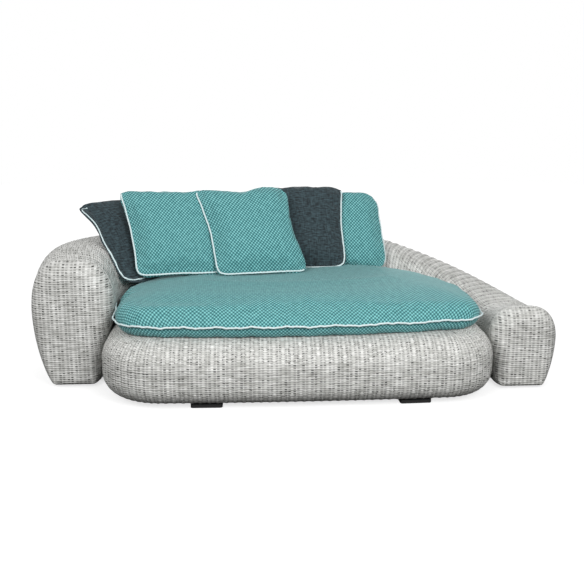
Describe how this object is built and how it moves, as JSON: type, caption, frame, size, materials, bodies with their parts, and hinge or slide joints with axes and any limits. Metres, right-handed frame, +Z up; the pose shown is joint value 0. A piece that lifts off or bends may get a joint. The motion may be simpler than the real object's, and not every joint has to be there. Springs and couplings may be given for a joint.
{
  "type": "garden sofa",
  "caption": "Woven outdoor sofa: oval pod in a curved back with one high and one low arm, domed seat cushion and leaning scatter pillows.",
  "frame": {"origin": "on the floor, at the middle of the overall width and depth", "axes": "+X along the sofa from the high arm to the low one, +Y from the front to the back, +Z up"},
  "size_m": [2.4446, 1.309, 0.878],
  "materials": {
    "weave": "light grey melange woven strand",
    "frame": "satin mill finish",
    "webbing": "flat woven webbing",
    "pad": "matt black",
    "screws": "plain stainless",
    "teal_fabric": "two-tone dotted weave",
    "dark_fabric": "fine melange weave",
    "piping": "near-white covered cord",
    "foam": "quick-dry foam",
    "zip_tape": "flat zip tape with a coil",
    "zip_metal": "enamelled to match the cover"
  },
  "bodies": {
    "sofa": {"back_floor_rail": "frame", "back_glide_1": "pad", "back_glide_2": "pad", "back_glide_3": "pad", "back_glide_4": "pad", "back_glide_5": "pad", "back_glide_6": "pad", "back_hoop_1": "frame", "back_hoop_2": "frame", "back_hoop_3": "frame", "back_hoop_4": "frame", "back_hoop_5": "frame", "back_hoop_6": "frame", "back_hoop_7": "frame", "back_top_rail": "frame", "back_weave": "weave", "dark_pillow_left": "dark_fabric", "dark_pillow_left_piping": "piping", "dark_pillow_right": "dark_fabric", "dark_pillow_right_piping": "piping", "deck_bearer_left": "frame", "deck_bearer_right": "frame", "foot_pad_1": "pad", "foot_pad_2": "pad", "foot_pad_3": "pad", "foot_pad_4": "pad", "foot_screws": "screws", "link_bar_left": "frame", "link_bar_right": "frame", "link_bolts": "screws", "pod_lower_hoop": "frame", "pod_rib_1": "frame", "pod_rib_10": "frame", "pod_rib_2": "frame", "pod_rib_3": "frame", "pod_rib_4": "frame", "pod_rib_5": "frame", "pod_rib_6": "frame", "pod_rib_7": "frame", "pod_rib_8": "frame", "pod_rib_9": "frame", "pod_upper_hoop": "frame", "pod_weave": "weave", "seat_cushion_core": "foam", "seat_cushion_cover": "teal_fabric", "seat_cushion_piping": "piping", "seat_strap_1": "webbing", "seat_strap_2": "webbing", "seat_strap_3": "webbing", "seat_strap_4": "webbing", "teal_pillow_left": "teal_fabric", "teal_pillow_left_piping": "piping", "teal_pillow_middle": "teal_fabric", "teal_pillow_middle_piping": "piping", "teal_pillow_right": "teal_fabric", "teal_pillow_right_piping": "piping", "zip_tape": "zip_tape"},
    "zip_slider": {"zip_slider": "zip_metal"},
    "zip_pull": {"zip_pull": "zip_metal"}
  },
  "joints": [
    {"name": "zip_slide", "type": "slide", "parent": "sofa", "child": "zip_slider", "axis": [1, 0, 0], "range_m": [0, 0.66]},
    {"name": "pull_hinge", "type": "hinge", "parent": "zip_slider", "child": "zip_pull", "pos_m": [-0.396, 0.27278, 0.34317], "axis": [0, 0.2576, 0.9662], "range_deg": [0, 45]}
  ]
}
